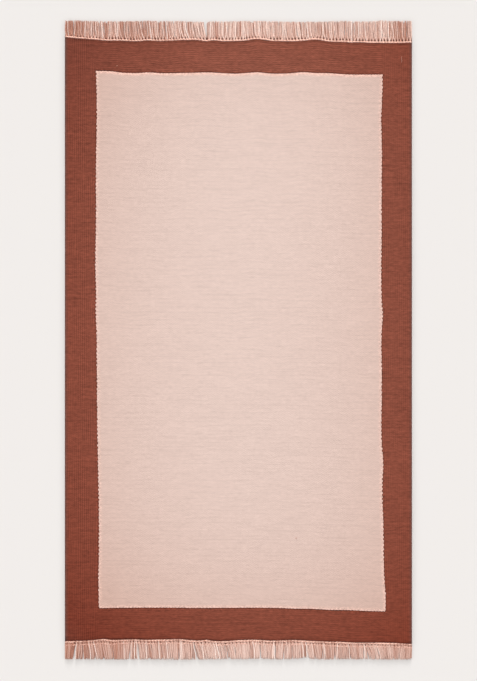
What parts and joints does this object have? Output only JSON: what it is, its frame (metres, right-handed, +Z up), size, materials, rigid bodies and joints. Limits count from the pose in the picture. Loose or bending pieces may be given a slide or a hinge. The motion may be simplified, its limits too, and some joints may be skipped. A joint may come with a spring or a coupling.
{
  "type": "flatweave rug",
  "caption": "Rectangular cotton flatweave rug for a floor, a pale pink field in a terracotta border, with a twined cord and a short cut fringe at each end.",
  "frame": {"origin": "middle of the whole rug, fringes included, on the surface it lies on", "axes": "+Z up off the floor, +Y along the warps towards the end with the single row of twining, +X across the rug"},
  "size_m": [0.8, 1.474, 0.0049],
  "materials": {
    "cotton_weft": "matte",
    "cotton_warp": "matte"
  },
  "bodies": {
    "root": {"cloth": "cotton_weft", "far_fringe": "cotton_warp", "near_fringe": "cotton_warp"}
  },
  "joints": []
}
